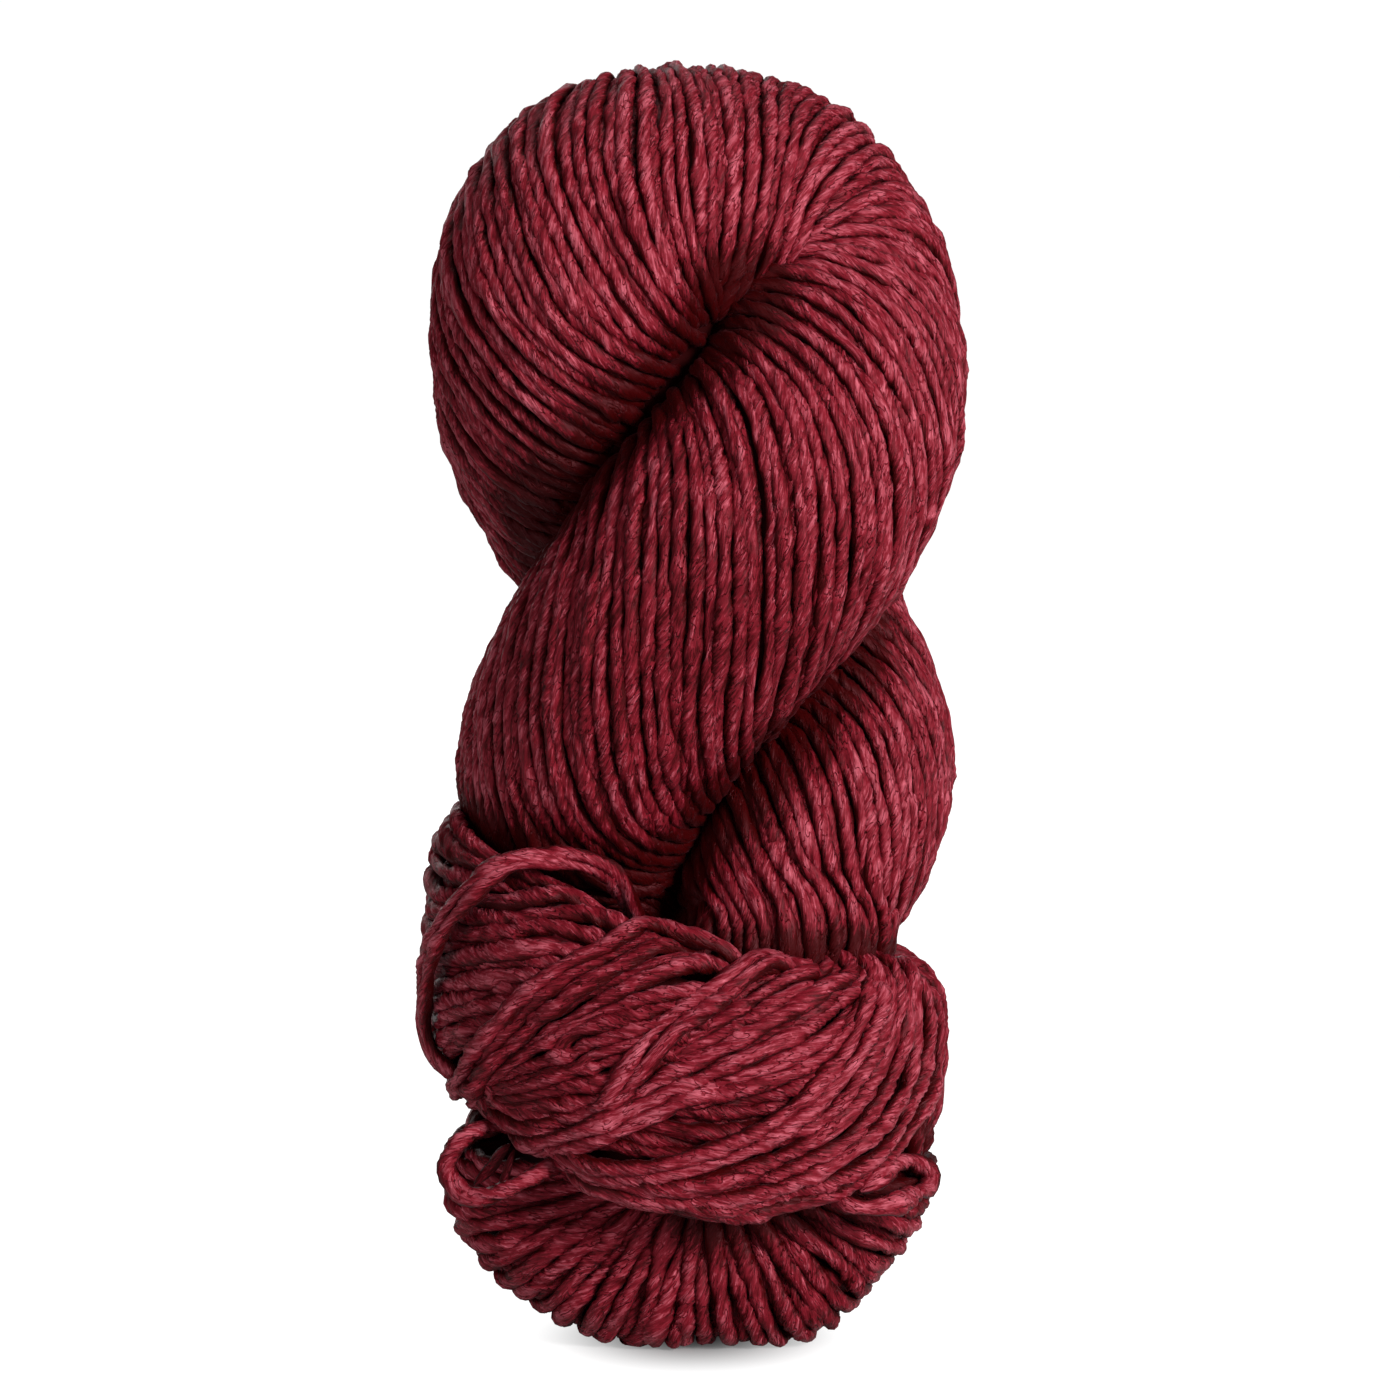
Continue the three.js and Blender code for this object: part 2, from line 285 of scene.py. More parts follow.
# Bundles of two strands that ride loose over the others there: rise in millimetres and places
RIDERS = [
    (1.0, [(800, 954), (780, 953), (760, 958), (740, 971), (720, 989), (697, 1005),
           (672, 1024), (651, 1047), (634, 1071), (618, 1093), (602, 1113), (586, 1126)]),
    (0.9, [(720, 1080), (695, 1091), (668, 1101), (640, 1114), (610, 1129), (578, 1141),
           (548, 1148), (521, 1148), (499, 1140), (484, 1124), (477, 1108)]),
    (0.8, [(876, 964), (879, 988), (873, 1016), (860, 1045), (842, 1072), (820, 1096),
           (793, 1119), (762, 1139), (728, 1154), (690, 1166), (652, 1174), (616, 1176),
           (584, 1172), (560, 1163)]),
]

# The bundle that arches free of the loop at its upper left: places on the photograph in its
# pixels, and how far behind the skein's middle each lies (in front of it below 0).
ARCH = [
    (640, 932, -12.0), (634, 914, -15.0), (625, 895, -18.5), (611, 874, -21.5), (584, 863, -23.5),
    (545, 858, -24.5), (514, 862, -25.0), (486, 876, -24.5), (466, 894, -23.0),
    (449, 915, -20.5), (435, 940, -17.5),
    (427, 965, -14.0), (424, 994, -11.0), (424, 1022, -9.0), (430, 1046, -8.5), (441, 1064, -9.5),
    (454, 1078, -10.5), (466, 1088, -10.0),
]

# Painted shade on the rope, where less light falls: place, reach, and the share of light left at
# the place. The last is the front of the middle ply, and the others lie in the creases.
PAINTED_SHADE_POCKETS = [
    ((-13.0, -11.0, 64.0), 21.0, 0.0),
    ((6.0, -19.0, 148.0), 12.0, 0.0),
    ((-11.0, -10.0, 132.0), 18.0, 0.0),
    ((-20.0, -9.0, 118.0), 15.0, 0.1),
    ((0.0, -38.0, 100.0), 42.0, 0.76),
]

ROPE_STRANDS = 96  # laid side by side; where they crowd, some sink below
ROPE_SIZE = 1.06  # thickness of its strands against YARN
ROPE_INSET = 0.25  # their outsides lie this far inside the rope's outline
ROPE_BURIED = 3.2  # this deep inside the other ply a strand is left out
ROPE_BOTTOM = 42.0  # and below this height, inside the tucked end
ROPE_FAR = 55.0  # this far along the rope, it counts as the other ply
CREASE_REACH = 11.5  # strands this near the other ply get painted shade
LOOP_SHADE = (7.0, 0.15)  # and painted shade this near above the wrapped loop: reach, and light left
LOOP_SIZE = 1.14  # strands there are this much thicker
LOOP_INSET = 0.4
LOOP_START = 7.0  # length over which a layer's strands come up from below
LOOP_CREST = 1.3  # its top edge stands this much prouder on the left
LOOP_MEET = 0.7  # as MEET, for the wrapped loop
START_LIGHT = 0.15  # painted light left where a strand starts under another layer
RIDER_SIZE = 1.04  # against LOOP_SIZE, as the next one
ARCH_SIZE = 0.9
ARCH_SPREAD = 0.37  # its two strands lie this far off its middle, in strands
TUCK_LOOPS = 49
TUCK_SIZE = 1.30
SIZE_SPREAD = 0.07  # how much the thickness of strands differs
LOOP_SIZE_SPREAD = 0.06
TUCK_RANGE = (-12.0, -176.0)  # angles between which its loops lie side by side
TUCK_HEART_RANGE = (-26.0, -163.0)
ROPE_HEART_INSET = 1.15 * YARN  # the hearts lie this deep below the outlines
LOOP_HEART_INSET = 4.2
TUCK_HEART_INSET = 1.6 * ROPE_HEART_INSET
# Share of the loops against share of the way around: they lie further apart at both ends
TUCK_SPREAD = [(0.0, 0.0), (0.06, 0.10), (0.88, 0.82), (1.0, 1.0)]
# Loose loops at both ends of the tucked end: size, painted light, and places as in ARCH
HOOPS = [
    (1.1, 1.0, [(524, 1128, -12), (506, 1124, -14), (488, 1126, -17), (472, 1132, -20),
                (460, 1141, -21), (451, 1153, -21), (447, 1166, -21), (450, 1180, -22),
                (464, 1195, -24), (480, 1197, -25), (500, 1192, -26), (524, 1181, -26),
                (546, 1170, -24), (566, 1158, -20)]),
    (0.9, 0.5, [(500, 1130, -10), (476, 1134, -9), (460, 1144, -8), (451, 1158, -7),
                (453, 1173, -7), (464, 1184, -8), (484, 1186, -10), (505, 1180, -12)]),
    (0.6, 0.7, [(510, 1144, -19), (500, 1154, -18), (490, 1168, -17), (474, 1186, -17)]),
    (0.5, 0.6, [(514, 1150, -20), (509, 1164, -20), (505, 1178, -20), (500, 1194, -20)]),
    (1.0, 0.9, [(520, 1132, 12), (494, 1130, 14), (470, 1136, 14), (452, 1150, 13),
                (446, 1166, 12), (452, 1182, 12), (470, 1192, 14), (500, 1190, 16)]),
    (1.15, 1.0, [(860, 1192, -23), (878, 1178, -21), (896, 1164, -17), (912, 1161, -13),
                 (924, 1168, -10), (930, 1179, -9), (925, 1189, -12), (912, 1195, -17),
                 (896, 1204, -22), (872, 1208, -24), (850, 1206, -25), (828, 1196, -22)]),
    (0.9, 0.4, [(866, 1190, -14), (884, 1178, -12), (902, 1172, -9), (918, 1176, -6),
                (922, 1188, -6), (908, 1198, -9), (886, 1204, -13)]),
    (0.9, 0.9, [(870, 1176, 2), (890, 1165, 4), (910, 1163, 5), (924, 1175, 5),
                (921, 1189, 4), (902, 1197, 3)]),
]


# Curves through rows of numbers

def between(a, b, c, d, t):
    """Smooth curve from b to c, with a before them and d after them."""
    return 0.5 * (2 * b + (c - a) * t + (2 * a - 5 * b + 4 * c - d) * t ** 2
                  + (3 * b - a - 3 * c + d) * t ** 3)


def through_rows(rows, samples):
    """Smooth curve through the rows, with this many samples from each to the next."""
    p = np.asarray(rows, float)
    last = len(p) - 1
    t = np.linspace(0.0, 1.0, samples, endpoint=False)[:, None]
    pieces = []
    for i in range(last):
        a, b, c, d = (p[min(max(i + k, 0), last)] for k in (-1, 0, 1, 2))
        pieces.append(between(a, b, c, d, t))
    pieces.append(p[-1:])
    return np.vstack(pieces)


def lengths(points):
    """Distance along a line of points, from its start."""
    steps = np.linalg.norm(np.diff(points[:, :3], axis=0), axis=1)
    return np.concatenate([[0.0], np.cumsum(steps)])


def at_lengths(s, reach, rows):
    """The rows at these lengths, where reach is the length at each row given."""
    return np.stack([np.interp(s, reach, column) for column in rows.T], axis=1)


def evenly(rows, step):
    """The same line with its rows an even distance apart."""
    reach = lengths(rows)
    s = np.linspace(0.0, reach[-1], max(4, round(reach[-1] / step)) + 1)
    return at_lengths(s, reach, rows)


def unit(v):
    return v / np.maximum(np.linalg.norm(v, axis=-1, keepdims=True), 1e-9)


def cumulative(values, steps):
    return np.concatenate([[0.0], np.cumsum(0.5 * (values[1:] + values[:-1]) * steps)])


def wander(random, wavelength, s):
    """Smooth random wandering at these lengths of a strand, of about unit size."""
    waves = (2 * math.pi / wavelength) * random.uniform(0.5, 1.6, 4)
    phases = random.uniform(0, 2 * math.pi, 4)
    angles = np.multiply.outer(s, waves) + phases
    return np.sin(angles).sum(axis=-1) / math.sqrt(len(waves) / 2)


# Surfaces that the strands lie on

def axis_x(height):
    heights, places = zip(*AXIS)
    return np.interp(height, heights, places)


def rope_line(step):
    """Middle line of the rope: up one ply, over the head and down the other."""
    def side(turn):
        points = []
        for height, azimuth, offset, radius, twist in PLY:
            a = math.radians(azimuth) + turn
            points.append((axis_x(height) + offset * math.cos(a),
                           offset * math.sin(a) * PLY_DEPTH, height, radius, twist))
        return points
    rows = side(math.pi) + side(0.0)[::-1][1:]
    return evenly(through_rows(rows, 24), step)


def rope_frames(line):
    """Directions outward and across the rope at each point of its middle line."""
    centres = line[:, :3]
    along = unit(np.gradient(centres, axis=0))
    level = np.minimum(centres[:, 2], HEAD_CENTRE)
    inner = np.stack([axis_x(level), 0 * level, level], axis=1)
    outward = centres - inner
    outward = unit(outward - (outward * along).sum(axis=1, keepdims=True) * along)
    return outward, np.cross(along, outward)


def superellipse(angle, exponent):
    c, s = np.cos(angle), np.sin(angle)
    return (np.sign(c) * np.abs(c) ** (2 / exponent), np.sign(s) * np.abs(s) ** (2 / exponent))


def band_station(azimuth):
    """Middle height and half height of the wrapped loop at azimuths in degrees."""
    rows = np.array(BAND)
    count = len(rows)
    place = (-np.asarray(azimuth, float) / (360.0 / count)) % count
    i = np.floor(place).astype(int) % count
    t = (place - np.floor(place))[..., None]
    a, b, c, d = (rows[(i + k) % count] for k in (-1, 0, 1, 2))
    out = between(a, b, c, d, t)
    return out[..., 0], out[..., 1]


def band_point(azimuth, angle, depth):
    """Point this deep inside the wrapped loop's surface."""
    middle, half = band_station(azimuth)
    out, up = superellipse(np.radians(angle), BAND_ROUNDNESS)
    a = np.radians(azimuth)
    thickness = BAND_HALF_THICKNESS - depth
    inset = BAND_HALF_THICKNESS - thickness * out
    return np.stack([BAND_X + (BAND_HALF_WIDTH - inset) * np.cos(a),
                     (BAND_HALF_DEPTH - inset) * np.sin(a),
                     middle + (half - depth) * up], axis=-1)


def tuck_rows(samples, first, last):
    """Rows of the tucked end between two angles."""
    rows = through_rows(TUCK, samples)
    return rows[(rows[:, 0] < first) & (rows[:, 0] > last)]


def tuck_loop(row, turn, depth):
    """One loop of the tucked end, over turns from -1 (front) to 1 (back)."""
    degrees, reach, squareness, lift = row
    out, side = superellipse(turn * math.pi / 2, squareness)
    far = TUCK_INNER + (reach - depth - TUCK_INNER) * out
    y = (TUCK_HALF_DEPTH - depth) * side
    angle = math.radians(degrees)
    z = TUCK_Z + far * math.sin(angle) + lift * y
    return np.stack([TUCK_X + far * math.cos(angle), y, np.maximum(z, depth)], axis=-1)


# Strands side by side, those that crowd sunk below the others

def square_gap(first, second, along):
    """Distance from one strand to another, square to their run."""
    across = second - first
    across = across - (across * along).sum(axis=2, keepdims=True) * along
    return np.linalg.norm(across, axis=2)


def sunk(paths, normals, closed, yarn, meet=MEET):
    """Sinks strands into the cradle between their neighbours where they don't fit side by side.

    Every second strand gives way first, then every second one of those left, and so on. Also
    says where a strand is hidden, because its neighbours meet above it, and its painted light:
    painted shade, stronger the deeper it sinks.
    """
    count = len(paths)
    along = unit(np.gradient(paths, axis=1))
    depth = np.zeros(paths.shape[:2])
    hidden = np.zeros(paths.shape[:2], bool)
    for level in range(4):
        reach = 2 ** level
        chosen = np.arange(reach, count, 2 * reach)
        left = chosen - reach
        right = chosen + reach
        if closed:
            right = right % count
        else:
            right = np.minimum(right, count - 1)
        gap = square_gap(paths[left], paths[right], along[chosen])
        room = np.clip(0.5 * gap / (SNUG * yarn), 0.0, 1.0)
        depth[chosen] = 0.9 * yarn * np.sqrt(1.0 - room ** 2)
        hidden[chosen] = gap < meet * yarn
    # The last value is painted shade for sunk strands, put into their base colour.
    return paths - normals * depth[..., None], hidden, 1.0 - 0.4 * np.clip(depth / yarn, 0, 1)


def slimmed(paths, yarn):
    """How much thinner crowded strands have to be to lie side by side all the same."""
    along = unit(np.gradient(paths, axis=1))
    count = len(paths)
    left = np.maximum(np.arange(count) - 1, 0)
    right = np.minimum(np.arange(count) + 1, count - 1)
    gap = square_gap(paths[left], paths[right], along) / (right - left)[:, None]
    return np.clip(gap / (SNUG * yarn), 0.6, 1.0)


def nearness(clearance, reach, least):
    """Smooth share for this much clearance, least at none and 1 beyond reach; mostly painted light."""
    rise = np.clip(clearance / reach, 0.0, 1.0)
    return least + (1.0 - least) * rise * rise * (3.0 - 2.0 * rise)


def tucked(path, normals):
    """The same strand with its two ends bent down under its neighbours."""
    reach = lengths(path)
    near_end = np.minimum(reach, reach[-1] - reach)
    drop = np.clip(1.0 - near_end / END_LENGTH, 0.0, 1.0) ** 2
    return path - normals * (END_DROP * drop)[:, None]


# Meshes of strands

def in_metres(points):
    """The points in the frame of the CAD, in metres."""
    moved = points * MM
    moved[:, 0] += SHIFT_X * MM
    return moved


def add_piece(name, mesh, material):
    """Puts a mesh into the scene as one more piece of the skein's silk."""
    mesh.materials.append(material)
    piece = add_object(name, mesh)
    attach(piece, "root")
    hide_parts("skein")


# A strand's section, from three soft plies of unequal size: relative radius every 30 degrees
SECTION = [1.10, 1.03, 0.79, 1.00, 1.06, 1.01, 0.86, 1.01, 1.07, 1.01, 0.83, 1.04]
SECTION_ANGLES = np.arange(len(SECTION)) * 2 * math.pi / len(SECTION)
SECTION_RADII = np.array(SECTION)


class StrandMesh:
    """Collects tubes and makes one mesh of them."""

    def __init__(self):
        self.vertices, self.quads, self.caps = [], [], []
        self.fibre, self.tone, self.open = [], [], []
        self.count = 0

    def add(self, path, normals, random, size=1.0, light=None):
        """One strand along path, with its outward normals and the painted light and shade along it."""
        reach = lengths(path)
        if reach[-1] < 3 * YARN:
            return
        steps = max(4, round(reach[-1] / RING_STEP))
        s = np.linspace(0.0, reach[-1], steps + 1)
        at = at_lengths(s, reach, path)
        up = at_lengths(s, reach, normals)
        # Painted light along the strand: values below 1 are painted shade.
        lit = np.ones(len(s)) if light is None else np.interp(s, reach, light)
        along = unit(np.gradient(at, axis=0))
        up = unit(up - (up * along).sum(axis=1, keepdims=True) * along)
        across = np.cross(along, up)
        swell = 1.0 + 0.10 * wander(random, 18.0, s) + 0.05 * wander(random, 6.0, s)
        size = np.interp(s, reach, size * np.ones(len(path)))
        radius = 0.5 * YARN * size * np.clip(swell, 0.72, 1.32)
        ends = np.minimum(s, reach[-1] - s)
        radius = radius * np.clip(0.25 + ends / YARN, 0.25, 1.0)
        pitch = TWIST_PITCH * random.uniform(0.85, 1.25)
        turn = (2 * math.pi / pitch) * s + 0.6 * wander(random, 24.0, s)
        turn = turn + random.uniform(0, 2 * math.pi)
        angles = turn[:, None] + SECTION_ANGLES[None, :]
        groove = np.clip(1.0 + 0.5 * wander(random, 8.0, s), 0.2, 1.7)
        radii = radius[:, None] * (1 + (SECTION_RADII[None, :] - 1) * groove[:, None])
        wide = 1.05 + 0.06 * wander(random, 14.0, s)[:, None]
        rings = (at[:, None, :] + (radii * np.cos(angles) / wide)[..., None] * up[:, None, :]
                 + (radii * np.sin(angles) * wide)[..., None] * across[:, None, :])
        sides = len(SECTION)
        start = random.uniform(0, 500)
        fibre = np.empty(rings.shape)
        fibre[..., 0] = 0.5 * YARN * np.cos(SECTION_ANGLES)[None, :]
        fibre[..., 1] = 0.5 * YARN * np.sin(SECTION_ANGLES)[None, :]
        fibre[..., 2] = (s + start)[:, None]
        first = self.count + np.arange(steps)[:, None] * sides
        j = np.arange(sides)[None, :]
        nxt = (j + 1) % sides
        quads = np.stack([first + j, first + nxt, first + sides + nxt, first + sides + j], axis=-1)
        self.vertices.append(rings.reshape(-1, 3))
        self.fibre.append(fibre.reshape(-1, 3))
        self.tone.append(np.full(len(rings) * sides, random.uniform()))
        # Painted shade: the underside of each strand is darker than its outward side.
        painted_side_light = np.clip((np.cos(angles) + 0.25) / 1.10, 0.0, 1.0) ** 0.8
        self.open.append((painted_side_light * lit[:, None]).ravel())
        self.quads.append(quads.reshape(-1, 4))
        self.caps.append(np.arange(sides)[::-1] + self.count)
        self.caps.append(np.arange(sides) + self.count + steps * sides)
        self.count += len(rings) * sides

    def make(self, name, material):
        vertices = in_metres(np.vstack(self.vertices))
        quads = np.vstack(self.quads)
        caps = np.vstack(self.caps)
        mesh = bpy.data.meshes.new(name)
        mesh.vertices.add(len(vertices))
        mesh.vertices.foreach_set("co", vertices.ravel())
        loops = np.concatenate([quads.ravel(), caps.ravel()])
        mesh.loops.add(len(loops))
        mesh.loops.foreach_set("vertex_index", loops.astype(np.int32))
        sizes = np.concatenate([np.full(len(quads), 4), np.full(len(caps), caps.shape[1])])
        starts = np.concatenate([[0], np.cumsum(sizes)[:-1]])
        mesh.polygons.add(len(sizes))
        mesh.polygons.foreach_set("loop_start", starts.astype(np.int32))
        mesh.polygons.foreach_set("use_smooth", np.ones(len(sizes), bool))
        mesh.update(calc_edges=True)
        mesh.validate()
        fibre = mesh.attributes.new("fibre", "FLOAT_VECTOR", "POINT")
        fibre.data.foreach_set("vector", np.vstack(self.fibre).ravel())
        for name_of, values in (("tone", self.tone), ("open", self.open)):
            attribute = mesh.attributes.new(name_of, "FLOAT", "POINT")
            attribute.data.foreach_set("value", np.concatenate(values))
        add_piece(name, mesh, material)


def runs(seen, least):
    """First and last index of each unbroken run of seen samples."""
    edges = np.flatnonzero(np.diff(np.concatenate([[0], seen.astype(int), [0]])))
    return [(a, b) for a, b in zip(edges[::2], edges[1::2]) if b - a >= least]


def widened(seen, by):
    out = seen.copy()
    for k in range(1, by + 1):
        out[k:] |= seen[:-k]
        out[:-k] |= seen[k:]
    return out


# The rope of two plies

def rope_strands(pieces):
    random = np.random.default_rng(11)
    step = 1.0
    line = rope_line(step)
    outward, across = rope_frames(line)
    s = lengths(line)
    turn = cumulative(line[:, 4], np.diff(s))
    centres = line[:, :3]
    paths, normals = [], []
    for i in range(ROPE_STRANDS):
        sway = wander(random, 90.0, s) * 0.40 + wander(random, 30.0, s) * 0.09
        phase = 2 * math.pi * (i + sway) / ROPE_STRANDS - turn
        bob = 0.22 * wander(random, 34.0, s)
        out = np.cos(phase)[:, None] * outward + np.sin(phase)[:, None] * across
        depth = 0.5 * YARN + ROPE_INSET - bob
        paths.append(centres + (line[:, 3] - depth)[:, None] * out)
        normals.append(out)
    paths, normals = np.array(paths), np.array(normals)
    paths, hidden, light = sunk(paths, normals, True, YARN)
    for i in range(ROPE_STRANDS):
        gap = np.linalg.norm(paths[i][:, None, :] - centres[None, :, :], axis=2)
        far_along = np.abs(s[:, None] - s[None, :]) > ROPE_FAR
        clearance = np.where(far_along, gap - line[None, :, 3], 99.0).min(axis=1)
        buried = clearance < -ROPE_BURIED
        # Painted shade in the crease between the plies.
        light[i] *= nearness(clearance, CREASE_REACH, 0.0)
        middle, half = band_station(np.degrees(np.arctan2(paths[i][:, 1], paths[i][:, 0])))
        # Painted shade just above the wrapped loop.
        light[i] *= nearness(paths[i][:, 2] - middle - half + 1.0, *LOOP_SHADE)
        # Painted shade in the pockets listed above.
        for place, around, least in PAINTED_SHADE_POCKETS:
            light[i] *= nearness(np.linalg.norm(paths[i] - np.array(place), axis=1), around, least)
        seen = widened(~hidden[i], 6) & ~buried & (centres[:, 2] > ROPE_BOTTOM)
        for a, b in runs(seen, 8):
            ply = 0 if 0.5 * (s[a] + s[b - 1]) < 0.5 * s[-1] else 1
            target = pieces[ply * 2 + (i // 2) % 2]
            path = tucked(paths[i][a:b], normals[i][a:b])
            size = ROPE_SIZE + SIZE_SPREAD * random.normal()
            target.add(path, normals[i][a:b], random, size, light[i][a:b])


# The wrapped loop

def seen_at(pixels, y):
    """X and height of what is seen at these pixels of the photograph and lies at these y."""
    distance = IMAGE_PIXELS * PIXEL * LENS / SENSOR
    look_x = (IMAGE_PIXELS / 2 - SKEIN_MIDDLE_PX) * PIXEL - SHIFT_X
    look_z = (FLOOR_PX - IMAGE_PIXELS / 2) * PIXEL
    rise, fall = math.sin(CAMERA_RISE), math.cos(CAMERA_RISE)
    z = np.full(len(pixels), 45.0)
    for _ in range(3):
        grow = 1.0 + (y * fall - (z - look_z) * rise) / distance
        x = look_x + (pixels[:, 0] - IMAGE_PIXELS / 2) * PIXEL * grow
        z = look_z + ((IMAGE_PIXELS / 2 - pixels[:, 1]) * PIXEL * grow - y * rise) / fall
    return x, z


def loop_place(pixels):
    """Azimuth and section angle of places on the loop's front, seen at these pixels."""
    pixels = np.asarray(pixels, float)
    y = np.full(len(pixels), -30.0)
    for _ in range(30):
        x, z = seen_at(pixels, y)
        azimuth = -np.degrees(np.arctan2(-y / BAND_HALF_DEPTH, (x - BAND_X) / BAND_HALF_WIDTH))
        middle, half = band_station(azimuth)
        up = np.clip((z - middle) / half, -0.999, 0.999)
        angle = np.arcsin(np.sign(up) * np.abs(up) ** (BAND_ROUNDNESS / 2))
        out = np.cos(angle) ** (2 / BAND_ROUNDNESS)
        inset = BAND_HALF_THICKNESS * (1.0 - out)
        across = np.clip((x - BAND_X) / (BAND_HALF_WIDTH - inset), -0.995, 0.995)
        y = 0.5 * y - 0.5 * (BAND_HALF_DEPTH - inset) * np.sqrt(1.0 - across ** 2)
        azimuth = -np.degrees(np.arccos(across))
    return np.stack([azimuth, np.degrees(angle)], axis=1)


def resampled(rows, count):
    """The line through the rows, with this many rows at even distances on the loop."""
    curve = through_rows(rows, 16)
    reach = lengths(band_point(curve[:, 0], curve[:, 1], 0.0))
    return at_lengths(np.linspace(0.0, reach[-1], count), reach, curve)


def guide_line(front, back, over=False):
    """One guide as azimuths and angles: its start, its front and its back."""
    if not front:
        return resampled(np.array(back, float), 90)
    seen = loop_place(front)
    if over:
        first = seen[0]
        start = np.array([[first[0] + 2.0, 136.0], [first[0] + 1.0, 112.0]])
        seen = np.vstack([start, seen])
    if not back:
        return resampled(seen, 90)
    joined = np.vstack([seen, np.array(back, float)])
    front_part = resampled(joined, 400)
    turn = int(np.argmin(np.abs(front_part[:, 0] - seen[-1, 0])))
    turn = min(max(turn, 40), 360)
    return np.vstack([resampled(front_part[:turn + 1], 90), resampled(front_part[turn:], 70)[1:]])


def layer_lines(layer):
    numbers = sorted(layer["guides"])
    tables = [guide_line(*layer["guides"][n], layer.get("over")) for n in numbers]
    lines = []
    for place in range(numbers[-1] + 1):
        k = min(int(np.searchsorted(numbers, place, side="right")) - 1, len(numbers) - 2)
        f = (place - numbers[k]) / (numbers[k + 1] - numbers[k])
        lines.append(tables[k] * (1 - f) + tables[k + 1] * f)
    return np.array(lines)


def band_normals(azimuth, angle):
    return unit(band_point(azimuth, angle, 0.0) - band_point(azimuth, angle, 1.0))


def band_strands(pieces):
    random = np.random.default_rng(23)
    yarn = YARN * LOOP_SIZE
    for layer in LAYERS:
        lines = layer_lines(layer)
        paths, normals, painted_start_shade = [], [], []
        for line in lines:
            reach = lengths(band_point(line[:, 0], line[:, 1], 0.0))
            start = nearness(LOOP_START - reach, LOOP_START, 0.0)
            bottom = np.clip((-line[:, 1] - 60.0) / 60.0, 0.0, 1.0)
            depth = 0.5 * yarn + LOOP_INSET + layer["depth"] * (1.0 - bottom)
            depth = depth + layer.get("dip", 0.0) * start
            crest = np.clip((line[:, 1] - 50.0) / 25.0, 0.0, 1.0)
            left = np.clip((-line[:, 0] - 75.0) / 20.0, 0.0, 1.0)
            depth = depth - LOOP_CREST * crest * left * (line[:, 0] > -170.0)
            normal = band_normals(line[:, 0], line[:, 1])
            surface = band_point(line[:, 0], line[:, 1], 0.0) - depth[:, None] * normal
            along = unit(np.gradient(surface, axis=0))
            side = np.cross(along, normal)
            sway = 0.30 * wander(random, 80.0, reach) + 0.07 * wander(random, 30.0, reach)
            bob = 0.25 * wander(random, 36.0, reach)
            paths.append(surface + sway[:, None] * side + bob[:, None] * normal)
            normals.append(normal)
            # Painted shade where a strand comes out from under another layer.
            painted_start_shade.append(nearness(reach, layer["dark"], START_LIGHT))
        paths, normals = np.array(paths), np.array(normals)
        if layer.get("slim"):
            slim, hidden = slimmed(paths, yarn * layer["thick"]), np.zeros(paths.shape[:2], bool)
            # Painted shade: crowded, thinner strands are darker.
            light = 0.55 + 0.45 * slim
        else:
            slim = np.ones(paths.shape[:2])
            paths, hidden, light = sunk(paths, normals, False, yarn, LOOP_MEET)
        for i in range(len(paths)):
            # Painted shade on the loop's inner side, and for layers that lie deeper.
            light[i] *= painted_start_shade[i] * nearness(140.0 - np.abs(lines[i][:, 1]), 40.0, 0.3)
            light[i] *= 1.0 - 0.25 * max(layer["depth"], 0.0)
            for a, b in runs(widened(~hidden[i], 8), 6):
                path = tucked(paths[i][a:b], normals[i][a:b])
                size = 1.0 + LOOP_SIZE_SPREAD * random.normal()
                size = LOOP_SIZE * layer["thick"] * size * slim[i][a:b]
                pieces[i % 2].add(path, normals[i][a:b], random, size, light[i][a:b])
    for rise, front in RIDERS:
        rows = guide_line(front, [])
        normal = band_normals(rows[:, 0], rows[:, 1])
        middle = band_point(rows[:, 0], rows[:, 1], 0.5 * yarn) + rise * normal
        side = np.cross(unit(np.gradient(middle, axis=0)), normal)
        for place in (-0.5, 0.5):
            shift = place * SNUG * yarn
            sway = 0.2 * wander(random, 40.0, lengths(middle))
            path = middle + (shift + sway)[:, None] * side - 0.25 * abs(shift) * normal
            pieces[0].add(tucked(path, normal), normal, random, LOOP_SIZE * RIDER_SIZE)
    arch = through_rows(ARCH, 12)
    x, z = seen_at(arch[:, :2], arch[:, 2])
    middle = np.stack([x, arch[:, 2], z], axis=1)
    normal = unit(np.stack([x - BAND_X, arch[:, 2], 0.0 * z], axis=1))
    side = np.cross(unit(np.gradient(middle, axis=0)), normal)
    for shift in (-ARCH_SPREAD, ARCH_SPREAD):
        sway = shift * yarn * (1.0 + 0.25 * wander(random, 30.0, lengths(middle)))
        path = middle + sway[:, None] * side
        pieces[0].add(tucked(path, normal), normal, random, ARCH_SIZE * LOOP_SIZE)


# The tucked end

def loop_path(row, turn, shift, yarn):
    """Middle line and normals of one strand's loop around the tucked end."""
    loops = []
    for depth in (0.5 * yarn, 0.5 * yarn + 1.0):
        loops.append(np.array([tuck_loop((row[0] + shift[k], *row[1:]), turn[k:k + 1], depth)[0]
                               for k in range(len(turn))]))
    return loops[0], unit(loops[0] - loops[1] + 1e-6)


